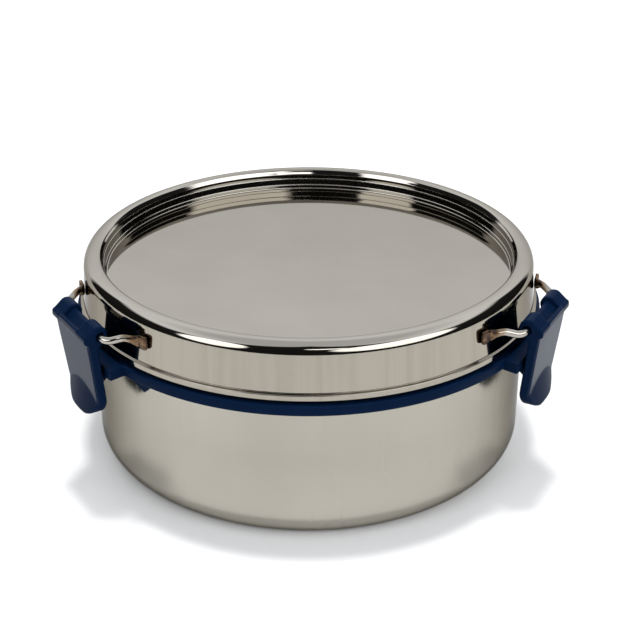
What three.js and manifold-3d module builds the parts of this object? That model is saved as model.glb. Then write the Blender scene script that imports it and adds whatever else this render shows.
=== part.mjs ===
// Round single-tier tiffin carrier: a deep-drawn steel container with a blue clamp collar,
// a pressed steel lid with a sunken panel, a gasket inside it, and three latches that stand
// 120 degrees apart. Each latch is a wire bail welded to the lid and a clip that swings on it.
// Millimetres, +Z up, origin at the centre of the container's flat base.
import * as THREE from 'three';
import { mergeVertices } from 'three/addons/utils/BufferGeometryUtils.js';
import Module from 'manifold-3d';

const wasm = await Module();
wasm.setup();

// ---- Driving dimensions ----
const TURN_SEGMENTS = 60;
const SHEET = 0.8;
const CUT_OVERRUN = 5;

// Container
const BODY_RADIUS = 77.7;
const BASE_FILLET = 8.4;
const RIM_HEIGHT = 65.6;
const BEAD_REACH = 1.5;
const BEAD_BOTTOM = 54.6;
const BEAD_HEIGHT = 1.6;
const BEAD_SHOULDER = 0.3;

// Lid
const CROWN_TUBE = 4.5;
const CROWN_CENTRE_RADIUS = 75.5;
const CROWN_CENTRE_HEIGHT = 69.4;
const CROWN_INNER_RADIUS = 73.6;
const CROWN_INNER_ROLL = 1.5;
const PANEL_HEIGHT = 66.3;
const PANEL_RADIUS = 71.7;
const WELL_RADIUS = 72.2;
const WELL_FOOT_HEIGHT = 67.7;
const WELL_WAIST_RADIUS = 72.9;
const WELL_WAIST_HEIGHT = 69.9;
const WELL_TOP_RADIUS = 73.1;
const WELL_TOP_HEIGHT = 72.3;
const SKIRT_RADIUS = 80.9;
const GROOVE_HEIGHT = 57.4;
const GROOVE_DEPTH = 0.5;
const FLARE_RADIUS = 82.0;
const FLARE_BOTTOM = 55.2;

// Gasket
const GASKET_INNER = 74.9;
const GASKET_OUTER = 78.7;
const GASKET_BOTTOM = 65.9;
const GASKET_TOP = 69.6;
const GASKET_CHAMFER = 1.0;

// Clamp collar
const COLLAR_INNER = 78.1;
const COLLAR_OUTER = 83.2;
const COLLAR_BOTTOM = 50.7;
const COLLAR_TOP = 54.1;
const COLLAR_CHAMFER = 0.8;
const LUG_REACH = 86.6;
const LUG_HALF_WIDTH = 16.0;
const LUG_BOTTOM = 50.0;
const LUG_TOP = 53.4;
const LUG_CHAMFER = 1.5;
const LUG_ROOT = 78.2;
const TOOTH_THICKNESS = 1.6;
const TOOTH_ROOT = 51.7;
// Each tooth's two ends and its tip in degrees from the latch, and its depth below the collar
const TEETH = [
  { from: 11.5, tip: 17.1, to: 19.6, depth: 3.8 },
  { from: -19.0, tip: -16.5, to: -11.5, depth: 1.0 },
];

// Latches, in a frame with X outward, Y along the rim and Z up
const LATCHES = { back: 90, left: 210, right: 330 };
const PIVOT_REACH = 87.6;
const PIVOT_HEIGHT = 65.3;
const WIRE_RADIUS = 1.25;
const WIRE_SIDES = 8;
const WIRE_STEPS = 36;
// Half of the bail's path as [outward, along the rim, up], from inside the clip to the weld
const BAIL_PATH = [
  [PIVOT_REACH, 5, PIVOT_HEIGHT],
  [PIVOT_REACH, 10, PIVOT_HEIGHT],
  [PIVOT_REACH, 13.8, PIVOT_HEIGHT],
  [87.1, 15.6, 65.1],
  [85.7, 17.1, 65.1],
  [83.9, 18.2, 65.6],
  [82.1, 19.4, 66.1],
  [80.5, 21.0, 65.9],
  [79.2, 22.8, 65.5],
];
const BORE_RADIUS = 1.5;
const PAD_ANGLE = 16.85;
const PAD_HEIGHT = 65.4;
const PAD_LENGTH = 5.4;
const PAD_DEPTH = 4.7;
const PAD_THICKNESS = 1.5;
const PAD_CORNER = 1.4;
const PAD_INNER = 80.6;
const BARREL_RADIUS = 2.9;
const BARREL_SHIFT = 0.3;
const BARREL_RISE = 0.8;
const CLIP_HALF_WIDTH = 13.6;
const CLIP_TIP_HALF_WIDTH = 12.0;
const CLIP_TIP_RADIUS = 9.5;
const CLIP_SHOULDER = 58;
const CLIP_TIP = 33.2;
const CLIP_THICKNESS = 3.6;
const CLIP_BACK_TOP = 61;
const FACE_REACH = 92.1;
const FACE_LEAN = 0.11;
const THUMB_HEIGHT = 40.0;
const THUMB_SWELL = 1.3;
const TIP_BEVEL = 1.2;
const LIP_REACH = 93.1;
const LIP_TOP = 66.3;
const LIP_BOTTOM = 63.4;
const LIP_STEP = 0.8;
const LIP_ROUND = 1.2;
const WINDOW_HALF_WIDTH = 6.2;
const WINDOW_FRONT_DEPTH = 1.7;
const WINDOW_FRONT_HEIGHT = 65.2;
const WINDOW_BACK_HEIGHT = 67.2;
const WIRE_COVER = 0.8;
const HOOK_HALF_WIDTH = 9.5;
const HOOK_TOP = 49.5;
const HOOK_TIP = 83.7;
const HOOK_LIP = 1.2;
const HOOK_FOOT = 45.5;
const HOOK_ROOT_DEPTH = 1.0;

// ---- Finishes ----
const finish = (color, roughness, metalness) => (
  new THREE.MeshStandardMaterial({ color, roughness, metalness })
);
const SATIN_STEEL = finish(0xb6b2a8, 0.3, 1.0);
const MIRROR_STEEL = finish(0xc4c0b7, 0.08, 1.0);
const CHROME_WIRE = finish(0xd6d2c8, 0.12, 1.0);
const BLUE_PLASTIC = finish(0x132848, 0.35, 0.0);
const SILICONE = finish(0xe4e4dc, 0.6, 0.0);

// ---- Geometry helpers ----
const point = (x, y) => new THREE.Vector2(x, y);
const degrees = THREE.MathUtils.degToRad;

// Points on an arc in a profile, from one angle to another, both in degrees.
function arc(centreX, centreY, radius, from, to, steps) {
  const points = [];
  for (let i = 0; i <= steps; i += 1) {
    const angle = degrees(from + (to - from) * i / steps);
    points.push(point(centreX + radius * Math.cos(angle), centreY + radius * Math.sin(angle)));
  }
  return points;
}

// A solid of revolution about Z from a profile of (radius, height) points.
function turned(profile) {
  const geometry = new THREE.LatheGeometry(profile, TURN_SEGMENTS);
  geometry.rotateX(Math.PI / 2);
  return geometry;
}

const closed = (profile) => [...profile, profile[0]];

// A side outline of (outward, up) points, extruded along the rim between two stations.
function acrossRim(outline, from, to) {
  const shape = new THREE.Shape(outline);
  const geometry = new THREE.ExtrudeGeometry(shape, { depth: to - from, bevelEnabled: false });
  geometry.translate(0, 0, -to);
  geometry.rotateX(Math.PI / 2);
  return geometry;
}

// A front outline of (along the rim, up) points, extruded outward between two radii.
function outward(outline, from, to) {
  const shape = new THREE.Shape(outline);
  const geometry = new THREE.ExtrudeGeometry(shape, { depth: to - from, bevelEnabled: false });
  geometry.translate(0, 0, from);
  return geometry.applyMatrix4(new THREE.Matrix4().set(0, 0, 1, 0, 1, 0, 0, 0, 0, 1, 0, 0, 0, 0, 0, 1));
}

// A plan outline of (x, y) points, extruded upward between two heights.
function upward(outline, from, to) {
  const shape = new THREE.Shape(outline);
  const geometry = new THREE.ExtrudeGeometry(shape, { depth: to - from, bevelEnabled: false });
  return geometry.translate(0, 0, from);
}

// three.js geometry to a manifold solid, and back.
function solid(source) {
  const bare = source.clone();
  bare.deleteAttribute('normal');
  bare.deleteAttribute('uv');
  const merged = mergeVertices(bare, 1e-4);
  return new wasm.Manifold(new wasm.Mesh({
    numProp: 3,
    vertProperties: new Float32Array(merged.attributes.position.array),
    triVerts: new Uint32Array(merged.index.array),
  }));
}

function geometryOf(manifold) {
  const mesh = manifold.getMesh();
  const geometry = new THREE.BufferGeometry();
  geometry.setAttribute('position', new THREE.BufferAttribute(mesh.vertProperties, 3));
  geometry.setIndex(new THREE.BufferAttribute(mesh.triVerts, 1));
  geometry.computeVertexNormals();
  return geometry;
}

const mirrored = (points) => [...points].reverse().map((p) => point(-p.x, p.y));

// ---- Container: base, rounded corner, wall with a retaining bead, open top ----
function containerGeometry() {
  const flat = BODY_RADIUS - BASE_FILLET;
  const beadTop = BEAD_BOTTOM + BEAD_HEIGHT;
  const inner = BODY_RADIUS - SHEET;
  return turned([
    point(0, 0),
    ...arc(flat, BASE_FILLET, BASE_FILLET, -90, 0, 5),
    point(BODY_RADIUS, BEAD_BOTTOM),
    point(BODY_RADIUS + BEAD_REACH, BEAD_BOTTOM + BEAD_HEIGHT * BEAD_SHOULDER),
    point(BODY_RADIUS + BEAD_REACH, beadTop - BEAD_HEIGHT * BEAD_SHOULDER),
    point(BODY_RADIUS, beadTop),
    point(BODY_RADIUS, RIM_HEIGHT),
    point(inner, RIM_HEIGHT),
    ...arc(flat, BASE_FILLET, BASE_FILLET - SHEET, 0, -90, 5),
    point(0, SHEET),
  ]);
}

// ---- Lid: sunken panel, ledged well, rounded crown, skirt, groove and flare ----
function lidGeometry() {
  const crownTop = CROWN_CENTRE_HEIGHT + CROWN_TUBE;
  const rollCentre = CROWN_INNER_RADIUS + CROWN_INNER_ROLL;
  const top = [
    point(0, PANEL_HEIGHT),
    point(PANEL_RADIUS, PANEL_HEIGHT),
    point(WELL_RADIUS, PANEL_HEIGHT + WELL_RADIUS - PANEL_RADIUS),
    point(WELL_RADIUS, WELL_FOOT_HEIGHT),
    point(WELL_WAIST_RADIUS, WELL_WAIST_HEIGHT),
    point(WELL_TOP_RADIUS, WELL_TOP_HEIGHT),
    ...arc(rollCentre, crownTop - CROWN_INNER_ROLL, CROWN_INNER_ROLL, 175, 120, 2),
    ...arc(CROWN_CENTRE_RADIUS, CROWN_CENTRE_HEIGHT, CROWN_TUBE, 90, 0, 5),
    point(SKIRT_RADIUS, GROOVE_HEIGHT + 2 * GROOVE_DEPTH),
    point(SKIRT_RADIUS - GROOVE_DEPTH, GROOVE_HEIGHT),
    point(FLARE_RADIUS - GROOVE_DEPTH, GROOVE_HEIGHT - GROOVE_DEPTH),
    point(FLARE_RADIUS, FLARE_BOTTOM),
  ];
  const under = [
    point(FLARE_RADIUS - SHEET, FLARE_BOTTOM),
    point(FLARE_RADIUS - SHEET - GROOVE_DEPTH, GROOVE_HEIGHT),
    point(SKIRT_RADIUS - SHEET - GROOVE_DEPTH, GROOVE_HEIGHT + 2 * GROOVE_DEPTH),
    ...arc(CROWN_CENTRE_RADIUS, CROWN_CENTRE_HEIGHT, CROWN_TUBE - SHEET, 0, 90, 3),
    point(CROWN_INNER_RADIUS + SHEET, WELL_TOP_HEIGHT),
    point(WELL_WAIST_RADIUS + SHEET, WELL_WAIST_HEIGHT),
    point(WELL_RADIUS + SHEET, WELL_FOOT_HEIGHT),
    point(WELL_RADIUS + SHEET, PANEL_HEIGHT),
    point(PANEL_RADIUS + SHEET, PANEL_HEIGHT - SHEET),
    point(0, PANEL_HEIGHT - SHEET),
  ];
  return turned([...top, ...under].reverse());
}

// ---- Gasket: a plain ring pressed into the channel under the crown ----
function gasketGeometry() {
  const shoulder = GASKET_TOP - GASKET_CHAMFER;
  return turned(closed([
    point(GASKET_INNER, GASKET_BOTTOM),
    point(GASKET_OUTER, GASKET_BOTTOM),
    point(GASKET_OUTER, shoulder),
    point(GASKET_OUTER - GASKET_CHAMFER, GASKET_TOP),
    point(GASKET_INNER + GASKET_CHAMFER, GASKET_TOP),
    point(GASKET_INNER, shoulder),
  ]));
}

// ---- Clamp collar: ring, three lugs that the clips hook under, and small teeth ----
function toothGeometry({ from, tip, to, depth }) {
  const radius = COLLAR_OUTER - TOOTH_THICKNESS;
  const at = (angle) => radius * Math.tan(degrees(angle - tip));
  const outline = [
    point(at(from), TOOTH_ROOT),
    point(0, COLLAR_BOTTOM - depth),
    point(at(to), TOOTH_ROOT),
  ];
  const geometry = outward(outline, radius - TOOTH_THICKNESS, radius);
  return geometry.rotateZ(degrees(tip));
}

function collarGeometry() {
  const ring = solid(turned(closed([
    point(COLLAR_INNER, COLLAR_BOTTOM + COLLAR_CHAMFER),
    point(COLLAR_OUTER - TOOTH_THICKNESS, COLLAR_BOTTOM),
    point(COLLAR_OUTER, COLLAR_BOTTOM),
    point(COLLAR_OUTER, COLLAR_TOP - COLLAR_CHAMFER),
    point(COLLAR_OUTER - COLLAR_CHAMFER, COLLAR_TOP),
    point(COLLAR_INNER, COLLAR_TOP),
  ])));
  const lugPlan = [
    point(LUG_ROOT, -LUG_HALF_WIDTH),
    point(LUG_REACH - LUG_CHAMFER, -LUG_HALF_WIDTH),
    point(LUG_REACH, -LUG_HALF_WIDTH + LUG_CHAMFER),
    point(LUG_REACH, LUG_HALF_WIDTH - LUG_CHAMFER),
    point(LUG_REACH - LUG_CHAMFER, LUG_HALF_WIDTH),
    point(LUG_ROOT, LUG_HALF_WIDTH),
  ];
  let collar = ring;
  for (const azimuth of Object.values(LATCHES)) {
    const pieces = [upward(lugPlan, LUG_BOTTOM, LUG_TOP), ...TEETH.map(toothGeometry)];
    for (const piece of pieces) {
      collar = collar.add(solid(piece.rotateZ(degrees(azimuth))));
    }
  }
  const bore = turned([
    point(0, LUG_BOTTOM - CUT_OVERRUN),
    point(COLLAR_INNER, LUG_BOTTOM - CUT_OVERRUN),
    point(COLLAR_INNER, COLLAR_TOP + CUT_OVERRUN),
    point(0, COLLAR_TOP + CUT_OVERRUN),
  ]);
  return geometryOf(collar.subtract(solid(bore)));
}

// ---- Bail: a wire through the clip's knuckles, bent in to two flattened, welded ends ----
function bailGeometry() {
  const side = (sign) => BAIL_PATH.map(([x, y, z]) => new THREE.Vector3(x, sign * y, z));
  const path = new THREE.CatmullRomCurve3([...side(-1).reverse(), ...side(1)], false, 'centripetal');
  const section = new THREE.Shape(arc(0, 0, WIRE_RADIUS, 0, 360 - 360 / WIRE_SIDES, WIRE_SIDES - 1));
  const settings = { steps: WIRE_STEPS, extrudePath: path, bevelEnabled: false };
  const wire = new THREE.ExtrudeGeometry(section, settings);
  const halfLength = PAD_LENGTH / 2 - PAD_CORNER;
  const halfDepth = PAD_DEPTH / 2 - PAD_CORNER;
  const outline = [
    ...arc(halfLength, halfDepth, PAD_CORNER, 0, 90, 2),
    ...arc(-halfLength, halfDepth, PAD_CORNER, 90, 180, 2),
    ...arc(-halfLength, -halfDepth, PAD_CORNER, 180, 270, 2),
    ...arc(halfLength, -halfDepth, PAD_CORNER, 270, 360, 2),
  ];
  let bail = solid(wire);
  for (const sign of [-1, 1]) {
    const pad = outward(outline, PAD_INNER, PAD_INNER + PAD_THICKNESS);
    pad.translate(0, 0, PAD_HEIGHT);
    pad.rotateZ(degrees(sign * PAD_ANGLE));
    bail = bail.add(solid(pad));
  }
  return geometryOf(bail);
}

// ---- Clip: knuckles on the wire, a leaning plate with a thumb tab, and a hook ----
const faceReach = (height) => FACE_REACH - FACE_LEAN * (LIP_BOTTOM - height);
const backReach = (height) => faceReach(height) - CLIP_THICKNESS;

function clipGeometry() {
  const thumbBack = backReach(THUMB_HEIGHT);
  const thumbFace = faceReach(THUMB_HEIGHT);
  const profile = [
    ...arc(PIVOT_REACH + BARREL_SHIFT, PIVOT_HEIGHT + BARREL_RISE, BARREL_RADIUS, 60, 240, 8),
    point(backReach(CLIP_BACK_TOP), CLIP_BACK_TOP),
    point(thumbBack, THUMB_HEIGHT),
    point(thumbBack + TIP_BEVEL / 3, CLIP_TIP + TIP_BEVEL),
    point(thumbBack + TIP_BEVEL, CLIP_TIP),
    point(thumbFace + THUMB_SWELL / 2, CLIP_TIP),
    point(thumbFace + THUMB_SWELL, CLIP_TIP + TIP_BEVEL),
    point(thumbFace, THUMB_HEIGHT),
    point(faceReach(LIP_BOTTOM), LIP_BOTTOM),
    point(LIP_REACH, LIP_BOTTOM + LIP_STEP),
    ...arc(LIP_REACH - LIP_ROUND, LIP_TOP - LIP_ROUND, LIP_ROUND, 0, 80, 2),
  ];
  const tipCentre = CLIP_TIP_HALF_WIDTH - CLIP_TIP_RADIUS;
  const clearTop = LIP_TOP + CUT_OVERRUN;
  const right = [
    ...arc(tipCentre, CLIP_TIP + CLIP_TIP_RADIUS, CLIP_TIP_RADIUS, -90, 0, 5),
    point(CLIP_HALF_WIDTH, CLIP_SHOULDER),
    point(CLIP_HALF_WIDTH, clearTop),
  ];
  const outline = [...right, ...mirrored(right)];
  const plate = solid(acrossRim(profile, -CLIP_HALF_WIDTH - 1, CLIP_HALF_WIDTH + 1));
  const nearest = COLLAR_INNER - CUT_OVERRUN;
  const body = plate.intersect(solid(outward(outline, nearest, LIP_REACH + CUT_OVERRUN)));

  const hook = solid(acrossRim([
    point(backReach(HOOK_TOP) + HOOK_ROOT_DEPTH, HOOK_TOP),
    point(HOOK_TIP, HOOK_TOP),
    point(HOOK_TIP, HOOK_TOP - HOOK_LIP),
    point(backReach(HOOK_FOOT), HOOK_FOOT),
    point(backReach(HOOK_FOOT) + HOOK_ROOT_DEPTH, HOOK_FOOT),
  ], -HOOK_HALF_WIDTH, HOOK_HALF_WIDTH));
  const recess = solid(acrossRim([
    point(nearest, clearTop),
    point(nearest, CLIP_BACK_TOP),
    point(PIVOT_REACH - WIRE_COVER, CLIP_BACK_TOP),
    point(PIVOT_REACH - WIRE_COVER, WINDOW_BACK_HEIGHT),
    point(LIP_REACH - WINDOW_FRONT_DEPTH, WINDOW_FRONT_HEIGHT),
    point(LIP_REACH - WINDOW_FRONT_DEPTH, clearTop),
  ], -WINDOW_HALF_WIDTH, WINDOW_HALF_WIDTH));
  const boreOutline = arc(PIVOT_REACH, PIVOT_HEIGHT, BORE_RADIUS, 0, 330, 11);
  const boreEnd = CLIP_HALF_WIDTH + CUT_OVERRUN;
  const bore = solid(acrossRim(boreOutline, -boreEnd, boreEnd));
  return geometryOf(body.add(hook).subtract(recess).subtract(bore));
}

// ---- Assembly ----
function named(name, geometry, material, azimuth = 0) {
  const mesh = new THREE.Mesh(geometry, material);
  mesh.name = name;
  mesh.rotation.z = degrees(azimuth);
  return mesh;
}

const tiffin = new THREE.Group();
tiffin.add(named('container', containerGeometry(), SATIN_STEEL));
tiffin.add(named('clamp_collar', collarGeometry(), BLUE_PLASTIC));
tiffin.add(named('lid', lidGeometry(), MIRROR_STEEL));
tiffin.add(named('lid_gasket', gasketGeometry(), SILICONE));
for (const [place, azimuth] of Object.entries(LATCHES)) {
  tiffin.add(named(`bail_${place}`, bailGeometry(), CHROME_WIRE, azimuth));
  tiffin.add(named(`clip_${place}`, clipGeometry(), BLUE_PLASTIC, azimuth));
}

export default tiffin;
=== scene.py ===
"""Looks of the round single-tier tiffin carrier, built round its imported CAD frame."""
import math

import bmesh
import bpy
from mathutils import Matrix, Vector

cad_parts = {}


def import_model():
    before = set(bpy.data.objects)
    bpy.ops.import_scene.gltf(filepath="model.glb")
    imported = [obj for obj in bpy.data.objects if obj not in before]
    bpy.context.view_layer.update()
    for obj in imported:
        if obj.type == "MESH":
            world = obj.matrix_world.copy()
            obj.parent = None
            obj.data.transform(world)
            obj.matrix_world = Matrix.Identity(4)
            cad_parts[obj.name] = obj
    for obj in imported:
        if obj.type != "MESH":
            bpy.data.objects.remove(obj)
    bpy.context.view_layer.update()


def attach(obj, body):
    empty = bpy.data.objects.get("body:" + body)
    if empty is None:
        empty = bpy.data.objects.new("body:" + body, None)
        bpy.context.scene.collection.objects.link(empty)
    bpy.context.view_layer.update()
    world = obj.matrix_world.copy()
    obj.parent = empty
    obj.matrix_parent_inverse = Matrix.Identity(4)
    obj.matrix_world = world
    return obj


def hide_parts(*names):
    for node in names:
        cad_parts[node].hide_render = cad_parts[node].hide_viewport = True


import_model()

MM = 0.001

# ---- Driving sizes, the same as the CAD part's. Lengths are in millimetres, angles in degrees. ----
BODY_RADIUS = 77.7
BASE_FILLET = 8.4
SHEET = 0.8
RIM_HEIGHT = 65.6
BEAD_BOTTOM = 54.6
BEAD_HEIGHT = 1.6
BEAD_REACH = 1.5

CROWN_TUBE = 4.5
CROWN_RADIUS = 75.5
CROWN_HEIGHT = 69.4
CROWN_INNER = 73.6
WELL_RADIUS = 72.2
PANEL_HEIGHT = 66.3
SKIRT_RADIUS = 80.9
GROOVE_HEIGHT = 57.4
FLARE_RADIUS = 82.0
FLARE_BOTTOM = 55.2

GASKET_INNER = 74.9
GASKET_OUTER = 78.7
GASKET_TOP = 69.6

COLLAR_INNER = 78.1
COLLAR_OUTER = 83.2
COLLAR_BOTTOM = 50.7
COLLAR_TOP = 54.1
LUG_REACH = 86.6
LUG_HALF_WIDTH = 16.0
LUG_BOTTOM = 50.0
LUG_TOP = 53.4

LATCHES = {"back": 90, "left": 210, "right": 330}
PIVOT_REACH = 87.6
PIVOT_HEIGHT = 65.3
WIRE_RADIUS = 1.25
PAD_HEIGHT = 65.4
PAD_ANGLE = 16.85
PAD_THICKNESS = 1.5
PAD_DEPTH = 4.7
BARREL_RADIUS = 2.9
BARREL_SHIFT = 0.3
BARREL_RISE = 0.8
CLIP_HALF_WIDTH = 13.6
CLIP_TIP = 33.2
CLIP_THICKNESS = 3.6
FACE_LEAN = 0.11
LIP_REACH = 93.1
LIP_TOP = 66.3
LIP_BOTTOM = 63.4
LIP_ROUND = 1.2
THUMB_HEIGHT = 40.0
WINDOW_HALF_WIDTH = 6.2
HOOK_HALF_WIDTH = 9.5
HOOK_TOP = 49.5
HOOK_TIP = 83.7
HOOK_LIP = 1.2
HOOK_FOOT = 45.5

# ---- Finer shapes of the visual model ----
EDGE_SUPPORT = 0.12
RIM_ROLL = SHEET / 2
WELL_FOOT_ROLL = 0.4
LEDGE_HOLLOW = 0.15
LEDGE_ROLL = 0.25
LOW_LEDGE = 67.5
HIGH_LEDGE = 70.0
GASKET_LIP = 0.6
GASKET_LIP_HEIGHT = 66.5
GASKET_GROOVE_HEIGHT = 66.9
GASKET_CORNER = 0.8
COLLAR_ROLL = 0.45
LUG_CORNER = 1.2
# Each tooth's start, tip and end as angles from the latch, and its depth below the collar
TEETH = [(11.5, 17.1, 19.6, 3.8), (-19.0, -16.5, -11.5, 1.0)]
# Half of the bail's path as (outward, along the rim, up), from the clip's middle to the paddle
BAIL_ARM = [
    (PIVOT_REACH, 0.0, PIVOT_HEIGHT),
    (PIVOT_REACH, 5.0, PIVOT_HEIGHT),
    (PIVOT_REACH, 10.0, PIVOT_HEIGHT),
    (PIVOT_REACH, 13.8, PIVOT_HEIGHT),
    (87.1, 15.6, 65.1),
    (85.7, 17.1, 65.1),
    (83.9, 18.2, 65.6),
    (82.1, 19.4, 66.1),
    (80.4, 20.9, 66.0),
]
WELD_GAP = 0.65
PADDLE_STATIONS = (-1.4, 0.6, 2.7)
PADDLE_FLAT_LENGTH = 2.2
PADDLE_BLEND_LENGTH = 5.0
PADDLE_SQUARENESS = 2.2
PADDLE_END_ROUND = 1.1
PLATE_TOP = 64.6
PLATE_TAPER_TOP = 58.0
PLATE_TAPER = 0.065
PLATE_END = 9.5
PLATE_END_POWER = 2.3
PLATE_EDGE_ROUND = 0.55
TIP_ROUND_HEIGHT = 1.2
TIP_ROUND_DEPTH = 1.1
THUMB_THINNING = 0.9
THUMB_PAD_TOP = 44.6
THUMB_PAD_SLOPE = 0.29
THUMB_PAD_CROWN = 1.85
THUMB_PAD_BLEND = 0.12
CLIP_BACK_TOP = 60.5
CLIP_BORE = 1.45
WIRE_COVER = 0.8
MOULD_VOXEL = 0.22

# ---- Camera: the picture's viewing angle ----
CAMERA_AZIMUTH = -2.0
CAMERA_ELEVATION = 26.33
CAMERA_DISTANCE = 494.4
CAMERA_LENS = 78.3
SENSOR_WIDTH = 36.0
CAMERA_NEAR = 10.0
AIM_HEIGHT = 46.5
AIM_SIDE = 0.48


def make_camera():
    turn = math.radians(CAMERA_AZIMUTH)
    rise = math.radians(CAMERA_ELEVATION)
    right = Vector((math.cos(turn), math.sin(turn), 0.0))
    away = Vector((-math.sin(turn), math.cos(turn), 0.0))
    aim = right * AIM_SIDE + Vector((0, 0, AIM_HEIGHT))
    place = aim - away * CAMERA_DISTANCE * math.cos(rise)
    place.z += CAMERA_DISTANCE * math.sin(rise)
    data = bpy.data.cameras.new("camera")
    data.lens = CAMERA_LENS
    data.sensor_width = SENSOR_WIDTH
    data.clip_start = CAMERA_NEAR * MM
    camera = bpy.data.objects.new("camera", data)
    camera.location = place * MM
    camera.rotation_euler = (aim - place).to_track_quat("-Z", "Y").to_euler()
    bpy.context.scene.collection.objects.link(camera)
    bpy.context.scene.camera = camera


make_camera()


# ---- Mesh helpers ----
def arc(centre_x, centre_y, radius, start, end, steps):
    """Profile points on an arc, angles in degrees."""
    angles = [math.radians(start + (end - start) * i / steps) for i in range(steps + 1)]
    return [(centre_x + radius * math.cos(a), centre_y + radius * math.sin(a)) for a in angles]


def supported(profile, is_closed):
    """Adds a point just inside each end of every long straight stretch, to keep the shading crisp."""
    points = []
    count = len(profile)
    last = count if is_closed else count - 1
    for i in range(last):
        a = Vector(profile[i])
        b = Vector(profile[(i + 1) % count])
        points.append(tuple(a))
        length = (b - a).length
        if length > 5 * EDGE_SUPPORT:
            step = (b - a) / length * EDGE_SUPPORT
            points.append(tuple(a + step))
            points.append(tuple(b - step))
    if not is_closed:
        points.append(profile[-1])
    return points


def link_mesh(name, mesh, material, crease):
    """An object of a mesh, shaded smooth except at edges sharper than crease, in degrees."""
    mesh.materials.append(material)
    mesh.shade_smooth()
    mesh.set_sharp_from_angle(angle=math.radians(crease))
    piece = bpy.data.objects.new(name, mesh)
    bpy.context.scene.collection.objects.link(piece)
    return piece


def loft(rings, wrap_rings=False, cap_ends=False):
    """A mesh through rings of the same number of points, in millimetres."""
    shape = bmesh.new()
    loops = [[shape.verts.new(Vector(p) * MM) for p in ring] for ring in rings]
    pairs = list(zip(loops, loops[1:]))
    if wrap_rings:
        pairs.append((loops[-1], loops[0]))
    for a, b in pairs:
        for i in range(len(a)):
            j = (i + 1) % len(a)
            shape.faces.new((a[i], a[j], b[j], b[i]))
    if cap_ends:
        shape.faces.new(list(reversed(loops[0])))
        shape.faces.new(loops[-1])
    bmesh.ops.recalc_face_normals(shape, faces=shape.faces)
    return shape


def to_mesh(shape, name):
    mesh = bpy.data.meshes.new(name)
    shape.to_mesh(mesh)
    shape.free()
    return mesh


def turned(name, profile, material, segments, on_axis, crease):
    """A solid of revolution. A profile on the axis has its first and last point at radius 0."""
    points = supported(profile, not on_axis)
    shape = bmesh.new()
    rings = []
    for radius, height in points:
        if radius < 1e-6:
            rings.append([shape.verts.new((0, 0, height * MM))])
            continue
        ring = []
        for i in range(segments):
            angle = 2 * math.pi * i / segments
            x = radius * math.cos(angle) * MM
            y = radius * math.sin(angle) * MM
            ring.append(shape.verts.new((x, y, height * MM)))
        rings.append(ring)
    pairs = list(zip(rings, rings[1:]))
    if not on_axis:
        pairs.append((rings[-1], rings[0]))
    for a, b in pairs:
        for i in range(segments):
            j = (i + 1) % segments
            if len(a) == 1:
                shape.faces.new((a[0], b[j], b[i]))
            elif len(b) == 1:
                shape.faces.new((a[i], a[j], b[0]))
            else:
                shape.faces.new((a[i], a[j], b[j], b[i]))
    bmesh.ops.recalc_face_normals(shape, faces=shape.faces)
    return link_mesh(name, to_mesh(shape, name), material, crease)


def evaluated_mesh(piece):
    """A new mesh with the piece's modifiers applied."""
    bpy.context.view_layer.update()
    graph = bpy.context.evaluated_depsgraph_get()
    return bpy.data.meshes.new_from_object(piece.evaluated_get(graph))


def boolean(target, other, operation):
    """Joins or cuts target by other, applies the result and removes other."""
    modifier = target.modifiers.new("cut", "BOOLEAN")
    modifier.operation = operation
    modifier.solver = "EXACT"
    modifier.object = other
    result = evaluated_mesh(target)
    target.modifiers.clear()
    target.data = result
    bpy.data.objects.remove(other)


def placed_copy(piece, name, azimuth):
    """A copy of a piece made in the latch frame, turned to its latch."""
    mesh = piece.data.copy()
    mesh.transform(Matrix.Rotation(math.radians(azimuth), 4, "Z"))
    copy = bpy.data.objects.new(name, mesh)
    bpy.context.scene.collection.objects.link(copy)
    return copy


# ---- Node helpers ----
class Tree:
    """A small builder for a node tree."""

    def __init__(self, tree):
        self.tree = tree

    def add(self, kind, **settings):
        node = self.tree.nodes.new(kind)
        for key, value in settings.items():
            setattr(node, key, value)
        return node

    def link(self, source, target):
        self.tree.links.new(source, target)

    def feed(self, socket, value):
        """Sets a socket to a number or links it to another socket."""
        if isinstance(value, (int, float)):
            socket.default_value = value
        else:
            self.link(value, socket)

    def math(self, operation, a, b=None, clamp=False):
        node = self.add("ShaderNodeMath", operation=operation, use_clamp=clamp)
        self.feed(node.inputs[0], a)
        if b is not None:
            self.feed(node.inputs[1], b)
        return node.outputs[0]

    def split(self, vector):
        node = self.add("ShaderNodeSeparateXYZ")
        self.link(vector, node.inputs[0])
        return node.outputs


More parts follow.
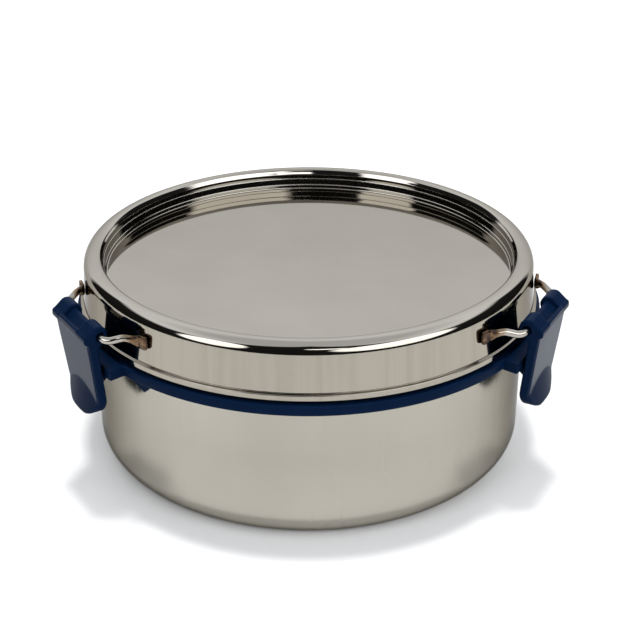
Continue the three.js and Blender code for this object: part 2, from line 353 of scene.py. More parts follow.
class Material(Tree):
    """A procedural material on a Principled shader."""

    def __init__(self, name):
        self.material = bpy.data.materials.new(name)
        self.material.use_nodes = True
        super().__init__(self.material.node_tree)
        self.shader = self.tree.nodes["Principled BSDF"]
        coordinates = self.add("ShaderNodeTexCoord").outputs
        self.position = coordinates["Object"]
        self.normal = coordinates["Normal"]

    def set(self, name, value):
        """Sets one of the shader's inputs, by a constant or by a link."""
        socket = self.shader.inputs[name]
        if isinstance(value, bpy.types.NodeSocket):
            self.link(value, socket)
        else:
            socket.default_value = value

    def noise(self, vector, scale, detail, roughness=0.5):
        node = self.add("ShaderNodeTexNoise")
        node.inputs["Scale"].default_value = scale
        node.inputs["Detail"].default_value = detail
        node.inputs["Roughness"].default_value = roughness
        self.link(vector, node.inputs["Vector"])
        return node.outputs["Fac"]

    def stretched_noise(self, vector, scales, detail, roughness=0.5):
        """Noise with its own scale along each axis, per metre."""
        node = self.add("ShaderNodeMapping")
        node.inputs["Scale"].default_value = scales
        self.link(vector, node.inputs["Vector"])
        return self.noise(node.outputs["Vector"], 1.0, detail, roughness)

    def ramp(self, factor, stops):
        """A colour ramp through (place, colour) stops."""
        node = self.add("ShaderNodeValToRGB")
        elements = node.color_ramp.elements
        while len(elements) < len(stops):
            elements.new(0.5)
        for element, (place, colour) in zip(elements, stops):
            element.position = place
            element.color = (*colour, 1.0)
        self.link(factor, node.inputs["Fac"])
        return node.outputs["Color"]

    def two_tone(self, noise, dark, pale):
        """A colour that follows the middle of a noise's range."""
        return self.ramp(noise, [(0.3, dark), (0.7, pale)])

    def specks(self, noise, start, end):
        """1 in the small places where a noise is above end, 0 where it is below start."""
        return self.ramp(noise, [(start, (0, 0, 0)), (end, (1, 1, 1))])

    def span(self, factor, low, high, start=0.3, end=0.7):
        """Maps start to end, which by default is the middle of a noise's range, to low to high."""
        node = self.add("ShaderNodeMapRange")
        node.inputs["From Min"].default_value = start
        node.inputs["From Max"].default_value = end
        node.inputs["To Min"].default_value = low
        node.inputs["To Max"].default_value = high
        self.link(factor, node.inputs["Value"])
        return node.outputs["Result"]

    def mix(self, factor, tone, colour):
        """The tone blended towards a colour by a factor."""
        node = self.add("ShaderNodeMix", data_type="RGBA", blend_type="MIX")
        self.link(factor, node.inputs[0])
        self.link(tone, node.inputs[6])
        node.inputs[7].default_value = (*colour, 1.0)
        return node.outputs[2]

    def bump(self, heights, distance, strength, under=None):
        """A bumped normal. Distance is in metres, and under is a normal to build on."""
        node = self.add("ShaderNodeBump")
        node.inputs["Strength"].default_value = strength
        node.inputs["Distance"].default_value = distance
        self.link(heights, node.inputs["Height"])
        if under is not None:
            self.link(under, node.inputs["Normal"])
        return node.outputs["Normal"]

    def vector(self, operation, a, b=None):
        node = self.add("ShaderNodeVectorMath", operation=operation)
        self.link(a, node.inputs[0])
        if isinstance(b, tuple):
            node.inputs[1].default_value = b
        elif b is not None:
            self.link(b, node.inputs[1])
        return node.outputs

    def outward(self):
        """The position's part at right angles to the Z axis."""
        return self.vector("MULTIPLY", self.position, (1, 1, 0))["Vector"]

    def radius(self):
        """Distance from the Z axis, in metres."""
        return self.vector("LENGTH", self.outward())["Value"]

    def around(self):
        """Coordinates unrolled about Z: the way round along X, radius along Y, height along Z, in metres."""
        place = self.split(self.position)
        angle = self.math("ARCTAN2", place["Y"], place["X"])
        join = self.add("ShaderNodeCombineXYZ")
        self.link(self.math("MULTIPLY", angle, BODY_RADIUS * MM), join.inputs["X"])
        self.link(self.radius(), join.inputs["Y"])
        self.link(place["Z"], join.inputs["Z"])
        return join.outputs[0]


# ---- Materials ----
def satin_steel():
    """Drawn steel with upright streaks, and a painted brighter reflection near its base."""
    steel = Material("satin_steel")
    unrolled = steel.around()
    streaks = steel.stretched_noise(unrolled, (900, 900, 14), detail=4.0, roughness=0.6)
    broad = steel.stretched_noise(unrolled, (60, 60, 9), detail=2.0)
    cloud = steel.noise(steel.position, scale=22.0, detail=3.0)
    specks = steel.specks(steel.noise(steel.position, 420.0, 2.0, 0.4), 0.70, 0.76)
    # Painted reflection: a mask that makes the tone brighter towards the base, standing in for the floor's
    # reflection there.
    painted_brighter_base = steel.span(steel.split(unrolled)["Z"], 1.0, 0.0, start=4 * MM, end=30 * MM)

    tone = steel.two_tone(cloud, dark=(0.352, 0.331, 0.286), pale=(0.394, 0.371, 0.322))
    tone = steel.mix(steel.span(broad, 0.0, 0.35, 0.35, 0.7), tone, (0.335, 0.313, 0.27))
    tone = steel.mix(steel.math("MULTIPLY", specks, 0.12), tone, (0.42, 0.37, 0.31))
    # Painted reflection: blends the tone brighter near the base.
    tone = steel.mix(steel.math("MULTIPLY", painted_brighter_base, 0.5), tone, (0.52, 0.485, 0.425))
    steel.set("Base Color", tone)
    steel.set("Metallic", 1.0)
    steel.set("Specular Tint", (0.30, 0.295, 0.29, 1.0))
    grain = steel.math("ADD", steel.span(streaks, 0.15, 0.27), steel.span(cloud, -0.015, 0.03))
    steel.set("Roughness", grain)
    fine = steel.bump(streaks, distance=0.02 * MM, strength=0.25)
    steel.set("Normal", steel.bump(broad, distance=0.09 * MM, strength=0.35, under=fine))
    return steel.material


def mirror_steel():
    """Polished sheet, with its wall painted darker than its panel as painted shade on its reflection, and
    faint upright marks in that darkening.
    """
    steel = Material("mirror_steel")
    unrolled = steel.around()
    polish = steel.stretched_noise(unrolled, (40, 1600, 1600), detail=3.0)
    haze = steel.noise(steel.position, scale=30.0, detail=4.0, roughness=0.55)
    upright = steel.stretched_noise(unrolled, (420, 30, 12), detail=3.0)
    wave = steel.noise(steel.position, scale=16.0, detail=2.0)
    specks = steel.specks(steel.noise(steel.position, 330.0, 1.0, 0.3), 0.735, 0.76)
    # Painted shade: the whole wall is blended darker than the panel to dim its reflection, and the upright
    # noise only varies that darkening as faint marks.
    on_wall = steel.span(steel.split(unrolled)["Y"], 0.0, 1.0, start=78.5 * MM, end=79.8 * MM)
    marks_and_painted_dimming = steel.math("MULTIPLY", steel.span(upright, 0.54, 0.74, 0.4, 0.75), on_wall)

    tone = steel.two_tone(haze, dark=(0.388, 0.364, 0.322), pale=(0.418, 0.393, 0.346))
    # Painted shade on the wall, with faint upright marks in it.
    tone = steel.mix(marks_and_painted_dimming, tone, (0.250, 0.223, 0.176))
    tone = steel.mix(steel.math("MULTIPLY", specks, 0.10), tone, (0.35, 0.33, 0.295))
    steel.set("Base Color", tone)
    steel.set("Metallic", 1.0)
    steel.set("Specular Tint", (0.45, 0.44, 0.43, 1.0))
    rough = steel.math("ADD", steel.span(haze, 0.03, 0.06), steel.span(polish, 0.0, 0.015))
    steel.set("Roughness", rough)
    steel.set("Normal", steel.bump(wave, distance=0.06 * MM, strength=0.35))
    return steel.material


def chrome_wire():
    """Bright wire, browned by heat at its welded ends, which are its parts nearest the lid's wall."""
    wire = Material("chrome_wire")
    heat = wire.span(wire.radius(), 1.0, 0.0, start=82.7 * MM, end=85.6 * MM)
    blotch = wire.noise(wire.position, scale=420.0, detail=3.0)
    scratch = wire.noise(wire.position, scale=900.0, detail=2.0)
    browning = wire.math("MULTIPLY", heat, wire.span(blotch, 0.35, 1.25))
    tint = wire.ramp(browning, [
        (0.05, (0.36, 0.338, 0.30)),
        (0.35, (0.24, 0.18, 0.12)),
        (0.65, (0.15, 0.09, 0.05)),
        (0.95, (0.07, 0.046, 0.034)),
    ])
    wire.set("Base Color", tint)
    wire.set("Metallic", 1.0)
    dulling = wire.math("MULTIPLY", browning, 0.2)
    wire.set("Roughness", wire.math("ADD", wire.span(blotch, 0.06, 0.13), dulling))
    wire.set("Normal", wire.bump(scratch, distance=0.03 * MM, strength=0.3))
    return wire.material


def blue_plastic():
    """Navy plastic, polished on the clips' outer faces and duller elsewhere."""
    plastic = Material("blue_plastic")
    cloud = plastic.noise(plastic.position, scale=70.0, detail=3.0)
    grain = plastic.noise(plastic.position, scale=2600.0, detail=2.0)
    orange_peel = plastic.noise(plastic.position, scale=260.0, detail=2.0)
    radial = plastic.vector("NORMALIZE", plastic.outward())["Vector"]
    facing = plastic.vector("DOT_PRODUCT", radial, plastic.normal)["Value"]
    faces_out = plastic.span(facing, 0.0, 1.0, start=0.75, end=0.92)
    far_out = plastic.span(plastic.radius(), 0.0, 1.0, start=87.2 * MM, end=88.2 * MM)
    not_upward = plastic.span(plastic.split(plastic.normal)["Z"], 1.0, 0.0, start=-0.04, end=0.10)
    outer = plastic.math("MULTIPLY", plastic.math("MULTIPLY", faces_out, far_out), not_upward)

    tone = plastic.two_tone(cloud, dark=(0.0018, 0.0084, 0.0285), pale=(0.0024, 0.0104, 0.034))
    plastic.set("Base Color", tone)
    plastic.set("Specular IOR Level", plastic.span(outer, 0.018, 0.032, start=0.0, end=1.0))
    sheen = plastic.span(outer, 0.30, 0.17, start=0.0, end=1.0)
    plastic.set("Roughness", plastic.math("ADD", sheen, plastic.span(cloud, 0.0, 0.06)))
    plastic.set("IOR", 1.49)
    fine = plastic.bump(grain, distance=0.01 * MM, strength=0.4)
    plastic.set("Normal", plastic.bump(orange_peel, distance=0.03 * MM, strength=0.2, under=fine))
    return plastic.material


def silicone():
    """Cloudy white rubber."""
    rubber = Material("silicone")
    cloud = rubber.noise(rubber.position, scale=160.0, detail=3.0)
    texture = rubber.noise(rubber.position, scale=900.0, detail=2.0)
    rubber.set("Base Color", rubber.two_tone(cloud, dark=(0.72, 0.72, 0.69), pale=(0.80, 0.80, 0.77)))
    rubber.set("Roughness", rubber.span(cloud, 0.48, 0.62))
    rubber.set("Subsurface Weight", 0.15)
    rubber.set("Subsurface Radius", (2 * MM, 2 * MM, 1.8 * MM))
    rubber.set("Normal", rubber.bump(texture, distance=0.04 * MM, strength=0.3))
    return rubber.material


SATIN = satin_steel()
MIRROR = mirror_steel()
WIRE = chrome_wire()
BLUE = blue_plastic()
SILICONE = silicone()


# ---- Container: rounded corner, wall with a retaining bead, rolled rim ----
def container_piece():
    flat = BODY_RADIUS - BASE_FILLET
    bead_centre = BODY_RADIUS + 0.3
    bead_top = BEAD_BOTTOM + BEAD_HEIGHT
    profile = [
        (0, 0),
        *arc(flat, BASE_FILLET, BASE_FILLET, -90, 0, 18),
        (BODY_RADIUS, BEAD_BOTTOM - 0.2),
        *arc(bead_centre, (BEAD_BOTTOM + bead_top) / 2, BEAD_REACH - 0.3, -70, 70, 10),
        (BODY_RADIUS, bead_top + 0.2),
        *arc(BODY_RADIUS - RIM_ROLL, RIM_HEIGHT - RIM_ROLL, RIM_ROLL, 0, 180, 8),
        *arc(flat, BASE_FILLET, BASE_FILLET - SHEET, 0, -90, 18),
        (0, SHEET),
    ]
    piece = turned("container_shell", profile, SATIN, segments=224, on_axis=True, crease=50)
    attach(piece, "container")
    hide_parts("container")


# ---- Lid ----
def ledge(hollow, hollow_angles, roll, roll_angles):
    """A small step in the well's wall: a hollow and then a roll, each given by its centre."""
    return [
        *arc(*hollow, LEDGE_HOLLOW, *hollow_angles, 4),
        *arc(*roll, LEDGE_ROLL, *roll_angles, 4),
    ]


def lid_outline():
    """Top surface from the panel's centre out to the flare's lip, as (radius, height)."""
    foot_radius = WELL_RADIUS - WELL_FOOT_ROLL
    waist = WELL_RADIUS + 0.54
    return [
        (0, PANEL_HEIGHT),
        *arc(foot_radius, PANEL_HEIGHT + WELL_FOOT_ROLL, WELL_FOOT_ROLL, -90, 0, 8),
        (WELL_RADIUS + 0.02, LOW_LEDGE),
        *ledge((WELL_RADIUS + 0.17, LOW_LEDGE + 0.05), (180, 120),
               (WELL_RADIUS + 0.02, LOW_LEDGE + 0.45), (-60, -9)),
        (waist, HIGH_LEDGE),
        *ledge((waist + 0.18, HIGH_LEDGE + 0.05), (175, 110),
               (waist + 0.01, HIGH_LEDGE + 0.4), (-55, 0)),
        *arc(WELL_RADIUS + 8.8, HIGH_LEDGE + 0.6, 8.0, 180, 170, 6),
        *arc(CROWN_INNER + 1.5, CROWN_HEIGHT + 2.95, 1.53, 165, 95, 14),
        *arc(CROWN_RADIUS, CROWN_HEIGHT, CROWN_TUBE, 88, 0, 26),
        (SKIRT_RADIUS - 0.75, CROWN_HEIGHT - 1.6),
        (SKIRT_RADIUS, GROOVE_HEIGHT + 0.4),
        (SKIRT_RADIUS - 0.06, GROOVE_HEIGHT + 0.26),
        (SKIRT_RADIUS - 0.14, GROOVE_HEIGHT + 0.12),
        (SKIRT_RADIUS - 0.06, GROOVE_HEIGHT + 0.02),
        (SKIRT_RADIUS + 0.35, GROOVE_HEIGHT - 0.06),
        (SKIRT_RADIUS + 0.78, GROOVE_HEIGHT - 0.14),
        (SKIRT_RADIUS + 0.92, GROOVE_HEIGHT - 0.30),
        (FLARE_RADIUS, FLARE_BOTTOM + 0.4),
    ]


def offset_outline(outline, distance):
    """The outline moved to its right-hand side by the sheet's thickness."""
    moved = []
    for i, point in enumerate(outline):
        before = Vector(outline[max(i - 1, 0)])
        after = Vector(outline[min(i + 1, len(outline) - 1)])
        along = (after - before).normalized()
        moved.append((max(point[0] + along.y * distance, 0.0), point[1] - along.x * distance))
    return moved


def lid_piece():
    top = lid_outline()
    lip_radius = SHEET / 2
    lip = arc(FLARE_RADIUS - lip_radius, FLARE_BOTTOM + lip_radius, lip_radius, -10, -170, 6)
    closest = 0.7
    under = [(0.0, PANEL_HEIGHT - SHEET)]
    for point in offset_outline(top, SHEET)[1:-1]:
        if (Vector(point) - Vector(under[-1])).length > closest:
            under.append(point)
    profile = [*top, *lip, *reversed(under)]
    piece = turned("lid_pressing", profile, MIRROR, segments=256, on_axis=True, crease=75)
    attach(piece, "lid")
    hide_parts("lid")


# ---- Gasket: a ring with two soft sealing lips on its lower face ----
def gasket_piece():
    corner_height = GASKET_TOP - GASKET_CORNER
    profile = [
        (GASKET_INNER, GASKET_LIP_HEIGHT),
        *arc(GASKET_INNER + 0.7, GASKET_LIP_HEIGHT, GASKET_LIP, 180, 360, 6),
        (GASKET_INNER + 1.55, GASKET_GROOVE_HEIGHT),
        (GASKET_OUTER - 1.55, GASKET_GROOVE_HEIGHT),
        *arc(GASKET_OUTER - 0.65, GASKET_LIP_HEIGHT, GASKET_LIP, 180, 360, 6),
        (GASKET_OUTER, corner_height - 0.2),
        *arc(GASKET_OUTER - GASKET_CORNER, corner_height, GASKET_CORNER, 0, 90, 5),
        *arc(GASKET_INNER + GASKET_CORNER, corner_height, GASKET_CORNER, 90, 180, 5),
    ]
    piece = turned("gasket_ring", profile, SILICONE, segments=160, on_axis=False, crease=40)
    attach(piece, "lid")
    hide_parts("lid_gasket")


# ---- Clamp collar: a ring with a lug at each latch and small teeth below it ----
def smooth_step(value):
    value = min(max(value, 0.0), 1.0)
    return value * value * (3 - 2 * value)


def tooth_depth(off):
    """How far a tooth reaches below the collar, at an angle in degrees from the latch."""
    for start, tip, end, depth in TEETH:
        if start < off < end:
            return depth * min((off - start) / (tip - start), (end - off) / (end - tip))
    return 0.0


def collar_section(angle):
    """The collar's section at an angle, in degrees from +X, as (radius, height) points."""
    nearest = min(LATCHES.values(), key=lambda a: abs((angle - a + 180) % 360 - 180))
    off = (angle - nearest + 180) % 360 - 180
    across = COLLAR_OUTER * math.tan(math.radians(off))
    over = abs(across) - (LUG_HALF_WIDTH - LUG_CORNER)
    reach = COLLAR_OUTER
    bottom = COLLAR_BOTTOM
    top = COLLAR_TOP
    if over < LUG_CORNER:
        flat = LUG_REACH / math.cos(math.radians(off))
        inset = LUG_CORNER - math.sqrt(LUG_CORNER ** 2 - max(over, 0.0) ** 2)
        reach = max(flat - inset, COLLAR_OUTER)
        bottom = LUG_BOTTOM
        top = LUG_TOP
    tooth = tooth_depth(off)
    return [
        (COLLAR_INNER, COLLAR_BOTTOM + 0.8),
        (COLLAR_OUTER - 3.3, COLLAR_BOTTOM + 0.35),
        (COLLAR_OUTER - 3.2, COLLAR_BOTTOM + 0.1 - tooth),
        (COLLAR_OUTER - 1.65, COLLAR_BOTTOM + 0.05 - tooth),
        (COLLAR_OUTER - 1.6, bottom),
        *arc(reach - COLLAR_ROLL, bottom + COLLAR_ROLL, COLLAR_ROLL, -90, 0, 4),
        *arc(reach - COLLAR_ROLL, top - COLLAR_ROLL, COLLAR_ROLL, 0, 90, 4),
        (COLLAR_OUTER - 1.4, top),
        (COLLAR_OUTER - 1.9, COLLAR_TOP),
        (COLLAR_INNER + 0.4, COLLAR_TOP),
        (COLLAR_INNER, COLLAR_TOP - 0.4),
    ]


def collar_piece():
    steps = 1080
    rings = []
    for i in range(steps):
        angle = 360 * i / steps
        turn = math.radians(angle)
        section = collar_section(angle)
        rings.append([(r * math.cos(turn), r * math.sin(turn), z) for r, z in section])
    mesh = to_mesh(loft(rings, wrap_rings=True), "clamp_collar_ring")
    piece = link_mesh("clamp_collar_ring", mesh, BLUE, crease=35)
    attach(piece, "container")
    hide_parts("clamp_collar")


# ---- Bails, made in the latch frame: X outward, Y along the rim ----
def spline(points, steps):
    """Catmull-Rom curve through 3-D points."""
    found = []
    count = len(points)
    for i in range(count - 1):
        p = [Vector(points[min(max(k, 0), count - 1)]) for k in (i - 1, i, i + 1, i + 2)]
        if i == 0:
            p[0] = 2 * p[1] - p[2]
        if i == count - 2:
            p[3] = 2 * p[2] - p[1]
        for j in range(steps):
            t = j / steps
            a = 2 * p[1]
            b = p[2] - p[0]
            c = 2 * p[0] - 5 * p[1] + 4 * p[2] - p[3]
            d = 3 * p[1] - p[0] - 3 * p[2] + p[3]
            found.append((a + b * t + c * t * t + d * t ** 3) * 0.5)
    found.append(Vector(points[-1]))
    return found


def bail_path():
    """The wire's centre line from one paddle's end to the other's."""
    pad_reach = CROWN_RADIUS + CROWN_TUBE + WELD_GAP + PAD_THICKNESS / 2
    turn = math.radians(PAD_ANGLE)
    centre = Vector((pad_reach * math.cos(turn), pad_reach * math.sin(turn), PAD_HEIGHT))
    tangent = Vector((-math.sin(turn), math.cos(turn), 0))
    paddle = [tuple(centre + tangent * station) for station in PADDLE_STATIONS]
    half = spline([*BAIL_ARM, *paddle], 7)
    return [Vector((p.x, -p.y, p.z)) for p in reversed(half[1:])] + half


def signed_power(value, power):
    return math.copysign(abs(value) ** power, value)


def wire_ring(place, along, to_end):
    """The wire's section at a place: round, and flattened to a paddle near its ends."""
    sides = 20
    side = along.cross(Vector((0, 0, 1))).normalized()
    up = side.cross(along).normalized()
    flat = 1 - smooth_step((to_end - PADDLE_FLAT_LENGTH) / PADDLE_BLEND_LENGTH)
    power = 2 / (2 + PADDLE_SQUARENESS * flat)
    end_round = math.sqrt(max(1 - (1 - min(to_end / PADDLE_END_ROUND, 1.0)) ** 2, 0.0))
    half_side = WIRE_RADIUS + (PAD_THICKNESS / 2 - WIRE_RADIUS) * flat
    half_up = WIRE_RADIUS + (PAD_DEPTH / 2 - WIRE_RADIUS) * flat
    half_side *= 0.45 + 0.55 * end_round
    half_up *= 0.62 + 0.38 * end_round
    ring = []
    for k in range(sides):
        angle = 2 * math.pi * k / sides
        x = signed_power(math.cos(angle), power) * half_side
        y = signed_power(math.sin(angle), power) * half_up
        ring.append(place + side * x + up * y)
    return ring


def bail_mesh():
    path = bail_path()
    lengths = [0.0]
    for a, b in zip(path, path[1:]):
        lengths.append(lengths[-1] + (b - a).length)
    rings = []
    for i, place in enumerate(path):
        along = (path[min(i + 1, len(path) - 1)] - path[max(i - 1, 0)]).normalized()
        to_end = min(lengths[i], lengths[-1] - lengths[i])
        rings.append(wire_ring(place, along, to_end))
    return to_mesh(loft(rings, cap_ends=True), "bail_wire")


def bail_pieces():
    base = link_mesh("bail_wire", bail_mesh(), WIRE, crease=60)
    for place, azimuth in LATCHES.items():
        piece = placed_copy(base, f"bail_wire_{place}", azimuth)
        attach(piece, "lid")
        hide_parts(f"bail_{place}")
    bpy.data.objects.remove(base)


# ---- Clips, made in the latch frame ----
def face_reach(height):
    """Reach of the plate's outer face at a height."""
    return LIP_REACH - 1.0 - FACE_LEAN * (LIP_BOTTOM - height)


def plate_half_width(height):
    """Half the plate's width at a height: slightly tapered, with a round end."""
    taper = CLIP_HALF_WIDTH - PLATE_TAPER * (PLATE_TAPER_TOP - min(height, PLATE_TAPER_TOP))
    above = (height - CLIP_TIP) / PLATE_END
    if above >= 1:
        return taper
    return taper * max(1 - (1 - above) ** PLATE_END_POWER, 0.0) ** (1 / PLATE_END_POWER)


def edge_roll(half, across):
    """How far the plate's rounded edge falls back at a place across it."""
    into_edge = PLATE_EDGE_ROUND - (half - abs(across))
    if into_edge <= 0:
        return 0.0
    return PLATE_EDGE_ROUND - math.sqrt(max(PLATE_EDGE_ROUND ** 2 - into_edge ** 2, 0.0))


def plate_ring(height, shrink):
    """Section of the plate at a height: flat back, front with a raised thumb pad low down."""
    half = plate_half_width(height)
    face = face_reach(height)
    back = face_reach(max(height, THUMB_HEIGHT)) - CLIP_THICKNESS
    below_thumb = max(THUMB_HEIGHT - height, 0.0) / (THUMB_HEIGHT - CLIP_TIP)
    back += THUMB_THINNING * below_thumb ** 2
    lift = THUMB_PAD_SLOPE * (THUMB_PAD_TOP - height)
    columns = 24
    stations = [half * (2 * i / columns - 1) for i in range(columns + 1)]
    ring = []
    for across in stations:
        bulge = lift - THUMB_PAD_CROWN * (across / CLIP_HALF_WIDTH) ** 2
        rise = 0.5 * (bulge + math.hypot(bulge, THUMB_PAD_BLEND))
        ring.append((face + rise - edge_roll(half, across) - shrink, across, height))
    for across in reversed(stations):
        ring.append((back + edge_roll(half, across) + shrink, across, height))
    return ring


def plate_object():
    bottom = CLIP_TIP + 0.02
    steps = 60
    rings = []
    for i in range(steps + 1):
        share = 1 - (1 - i / steps) ** 1.6
        height = PLATE_TOP + (bottom - PLATE_TOP) * share
        near_tip = max(1 - (height - CLIP_TIP) / TIP_ROUND_HEIGHT, 0.0)
        shrink = TIP_ROUND_DEPTH * (1 - math.sqrt(max(1 - near_tip ** 2, 0.0)))
        rings.append(plate_ring(height, shrink))
    mesh = to_mesh(loft(rings, cap_ends=True), "clip_plate")
    return link_mesh("clip_plate", mesh, BLUE, crease=35)


def across_rim(name, outline, start, end, inset=0.4):
    """An (outward, up) outline carried along the rim, its two ends rounded by the inset."""
    count = len(outline)
    middle = Vector((sum(p[0] for p in outline) / count, sum(p[1] for p in outline) / count))
    stations = []
    for i in range(5):
        angle = math.pi / 2 * i / 4
        stations.append((start + inset * (1 - math.cos(angle)), inset * (1 - math.sin(angle))))
    stations += [(start + end - place, amount) for place, amount in reversed(stations)]
    rings = []
    for place, amount in stations:
        ring = []
        for corner in outline:
            from_middle = Vector(corner) - middle
            scale = max(1 - amount / max(from_middle.length, 1e-6), 0.0)
            point = middle + from_middle * scale
            ring.append((point.x, place, point.y))
        rings.append(ring)
    mesh = to_mesh(loft(rings, cap_ends=True), name)
    return link_mesh(name, mesh, BLUE, crease=35)


def rounded(outline, radius):
    """Rounds every corner of a closed outline."""
    steps = 3
    points = []
    count = len(outline)
    for i in range(count):
        corner = Vector(outline[i])
        before = Vector(outline[i - 1]) - corner
        after = Vector(outline[(i + 1) % count]) - corner
        cut = min(radius, before.length * 0.45, after.length * 0.45)
        a = corner + before.normalized() * cut
        b = corner + after.normalized() * cut
        for j in range(steps + 1):
            t = j / steps
            points.append(tuple(a * (1 - t) ** 2 + corner * 2 * t * (1 - t) + b * t * t))
    return points


def moulded(piece):
    """The same solid with its edges slightly rounded, as a moulding has them."""
    remesh = piece.modifiers.new("skin", "REMESH")
    remesh.mode = "VOXEL"
    remesh.voxel_size = MOULD_VOXEL * MM
    relax = piece.modifiers.new("relax", "SMOOTH")
    relax.factor = 0.5
    relax.iterations = 4
    result = evaluated_mesh(piece)
    piece.modifiers.clear()
    piece.data = result
    result.materials.clear()
    result.materials.append(BLUE)
    result.shade_smooth()
    return piece


def lip_foot():
    """The lip's underside on the plate's face, shared by the knuckles and the window's floor."""
    return [
        (face_reach(CLIP_BACK_TOP) - 0.3, CLIP_BACK_TOP),
        (face_reach(LIP_BOTTOM) - 0.2, LIP_BOTTOM - 0.6),
        (LIP_REACH, LIP_BOTTOM + 0.3),
    ]


def knuckle_outline():
    """A knuckle seen along the wire: the lip in front and the barrel over the wire."""
    barrel_x = PIVOT_REACH + BARREL_SHIFT
    barrel_z = PIVOT_HEIGHT + BARREL_RISE
    return [
        *lip_foot(),
        *arc(LIP_REACH - LIP_ROUND, LIP_TOP - LIP_ROUND, LIP_ROUND, 0, 80, 5),
        *arc(barrel_x, barrel_z, BARREL_RADIUS, 62, 240, 20),
        (face_reach(CLIP_BACK_TOP) - CLIP_THICKNESS + 0.4, CLIP_BACK_TOP),
    ]


def window_outline():
    """The lower part between the knuckles, which covers the wire from in front."""
    return rounded([
        *lip_foot(),
        (LIP_REACH, LIP_TOP),
        (LIP_REACH - 1.5, LIP_TOP + 0.05),
        (LIP_REACH - 1.9, LIP_TOP - LIP_ROUND),
        (PIVOT_REACH + 0.6, PIVOT_HEIGHT + 1.85),
        (PIVOT_REACH - WIRE_COVER, PIVOT_HEIGHT + 1.9),
        (PIVOT_REACH - WIRE_COVER, PIVOT_HEIGHT - 2.7),
        (face_reach(CLIP_BACK_TOP) - CLIP_THICKNESS + 0.4, CLIP_BACK_TOP),
    ], 0.35)


def hook_outline():
    inside = face_reach(46) - CLIP_THICKNESS + 0.8
    return rounded([
        (inside, HOOK_TOP),
        (HOOK_TIP, HOOK_TOP),
        (HOOK_TIP, HOOK_TOP - HOOK_LIP),
        (inside - 0.6, HOOK_FOOT),
        (inside, HOOK_FOOT),
    ], 0.3)


def clip_object():
    half = CLIP_HALF_WIDTH
    inner = WINDOW_HALF_WIDTH
    floor_half = inner + 0.6
    bore_half = half + 2
    bore_outline = arc(PIVOT_REACH, PIVOT_HEIGHT, CLIP_BORE, 0, 352.5, 47)
    clip = plate_object()
    for part in (
        across_rim("knuckle_a", knuckle_outline(), inner, half),
        across_rim("knuckle_b", knuckle_outline(), -half, -inner),
        across_rim("window_floor", window_outline(), -floor_half, floor_half, 0.05),
        across_rim("hook", hook_outline(), -HOOK_HALF_WIDTH, HOOK_HALF_WIDTH),
    ):
        boolean(clip, part, "UNION")
    boolean(clip, across_rim("bore", bore_outline, -bore_half, bore_half, 0.01), "DIFFERENCE")
    return moulded(clip)


def clip_pieces():
    base = clip_object()
    for place, azimuth in LATCHES.items():
        piece = placed_copy(base, f"clip_moulding_{place}", azimuth)
        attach(piece, f"clip_{place}")
        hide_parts(f"clip_{place}")
    bpy.data.objects.remove(base)


container_piece()
lid_piece()
gasket_piece()
collar_piece()
bail_pieces()
clip_pieces()

# ---- Studio. Its azimuths are seen from the object: ----
# ---- 0 looks along +Y, 90 along +X and 180 to the front, where the camera stands. ----
FLOOR_RADIUS = 12000.0
FLOOR_DROP = 0.2
PALE_LEVEL = 1.3
OVERHEAD_DIMMING = 0.45
OVERHEAD_START = 48.0
OVERHEAD_BLEND = 18.0
DARK_LEVEL = 0.02
DARK_SIDES = (46.0, 314.0)
DARK_SIDE_BLEND = 2.5
DARK_TOP = 73.0
DARK_TOP_SLOPE = 0.42
DARK_TOP_LOWEST = 38.0
DARK_TOP_BLEND = 3.0
LAMP_LEVEL = 3.3
LAMP_ROUNDNESS = 2.3
LAMP_BLEND = 0.2
# Each lamp front's azimuth and half width, and its elevation and half height
LAMP_FRONTS = [(137.0, 33.0, 31.0, 17.0), (232.0, 18.0, 31.0, 17.0), (172.0, 12.0, 46.5, 3.0)]
STUDIO_TINT = (0.975, 1.0, 1.04)
KEY_PLACE = (0.0, 400.0, 5000.0)
KEY_SIZE = 600.0
KEY_WATTS = 125.0


def floor():
    shape = bmesh.new()
    bmesh.ops.create_circle(shape, cap_ends=True, segments=96, radius=FLOOR_RADIUS * MM)
    mesh = to_mesh(shape, "studio_floor")
    paper = Material("studio_floor")
    cloud = paper.noise(paper.position, scale=3.0, detail=3.0)
    paper.set("Base Color", paper.two_tone(cloud, dark=(0.90, 0.90, 0.89), pale=(0.92, 0.92, 0.91)))
    paper.set("Roughness", 0.9)
    paper.set("Specular IOR Level", 0.1)
    mesh.materials.append(paper.material)
    piece = bpy.data.objects.new("studio_floor", mesh)
    piece.location.z = -FLOOR_DROP * MM
    bpy.context.scene.collection.objects.link(piece)


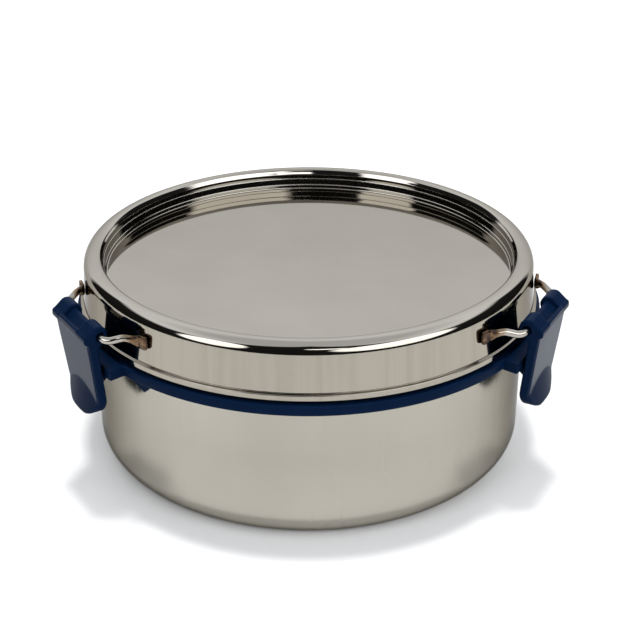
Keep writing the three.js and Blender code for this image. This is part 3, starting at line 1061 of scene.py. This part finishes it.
class Studio(Tree):
    """The world's brightness as a function of azimuth and elevation."""

    def __init__(self, tree):
        super().__init__(tree)
        direction = self.split(self.add("ShaderNodeTexCoord").outputs["Generated"])
        degree = 180 / math.pi
        turn = self.math("MULTIPLY", self.math("ARCTAN2", direction["X"], direction["Y"]), degree)
        self.azimuth = self.math("MODULO", self.math("ADD", turn, 360.0), 360.0)
        self.elevation = self.math("MULTIPLY", self.math("ARCSINE", direction["Z"]), degree)

    def rise_to_one(self, value, start, length):
        """0 up to start and 1 from start plus length on."""
        return self.math("DIVIDE", self.math("SUBTRACT", value, start), length, clamp=True)

    def dark_zone(self):
        """1 in front and at the sides, up to a height that falls away from the front."""
        low, high = DARK_SIDES
        blend = DARK_SIDE_BLEND
        past_low = self.rise_to_one(self.azimuth, low - blend, 2 * blend)
        to_high = self.math("SUBTRACT", high + blend, self.azimuth)
        sides = self.math("MULTIPLY", past_low, self.rise_to_one(to_high, 0.0, 2 * blend))
        off_front = self.math("ABSOLUTE", self.math("SUBTRACT", self.azimuth, 180.0))
        slope = self.math("SUBTRACT", DARK_TOP, self.math("MULTIPLY", off_front, DARK_TOP_SLOPE))
        top = self.math("ADD", self.math("MAXIMUM", slope, DARK_TOP_LOWEST), DARK_TOP_BLEND)
        below = self.rise_to_one(self.math("SUBTRACT", top, self.elevation), 0.0, 2 * DARK_TOP_BLEND)
        return self.math("MULTIPLY", sides, below)

    def lamp_front(self, azimuth, half_width, elevation, half_height):
        """1 inside a rounded lamp front."""
        total = None
        for value, middle, half in (
            (self.azimuth, azimuth, half_width),
            (self.elevation, elevation, half_height),
        ):
            off = self.math("DIVIDE", self.math("SUBTRACT", value, middle), half)
            part = self.math("POWER", self.math("ABSOLUTE", off), LAMP_ROUNDNESS)
            total = part if total is None else self.math("ADD", total, part)
        inside = self.math("SUBTRACT", 1.0 + LAMP_BLEND, total)
        return self.rise_to_one(inside, 0.0, 2 * LAMP_BLEND)


def world():
    """A pale room with a dark zone in front and at the sides, as seen in the polished steel."""
    room = bpy.data.worlds.new("studio")
    bpy.context.scene.world = room
    room.use_nodes = True
    studio = Studio(room.node_tree)
    overhead = studio.rise_to_one(studio.elevation, OVERHEAD_START, OVERHEAD_BLEND)
    dimming = studio.math("MULTIPLY", overhead, OVERHEAD_DIMMING)
    pale = studio.math("SUBTRACT", PALE_LEVEL, dimming)
    contrast = studio.math("SUBTRACT", pale, DARK_LEVEL)
    level = studio.math("SUBTRACT", pale, studio.math("MULTIPLY", studio.dark_zone(), contrast))
    for front in LAMP_FRONTS:
        glow = studio.math("MULTIPLY", studio.lamp_front(*front), LAMP_LEVEL)
        level = studio.math("ADD", level, glow)
    join = studio.add("ShaderNodeCombineColor")
    for socket, tint in zip(join.inputs, STUDIO_TINT):
        studio.link(studio.math("MULTIPLY", level, tint), socket)
    studio.link(join.outputs[0], room.node_tree.nodes["Background"].inputs["Color"])


def key_light():
    """A soft light from above that whitens the floor and isn't seen in the steel."""
    data = bpy.data.lights.new("key_light", "AREA")
    data.shape = "DISK"
    data.size = KEY_SIZE * MM
    data.energy = KEY_WATTS
    piece = bpy.data.objects.new("key_light", data)
    piece.location = Vector(KEY_PLACE) * MM
    piece.rotation_euler = (-Vector(KEY_PLACE)).to_track_quat("-Z", "Y").to_euler()
    piece.visible_glossy = False
    bpy.context.scene.collection.objects.link(piece)


floor()
world()
key_light()
bpy.context.scene.view_settings.view_transform = "Standard"
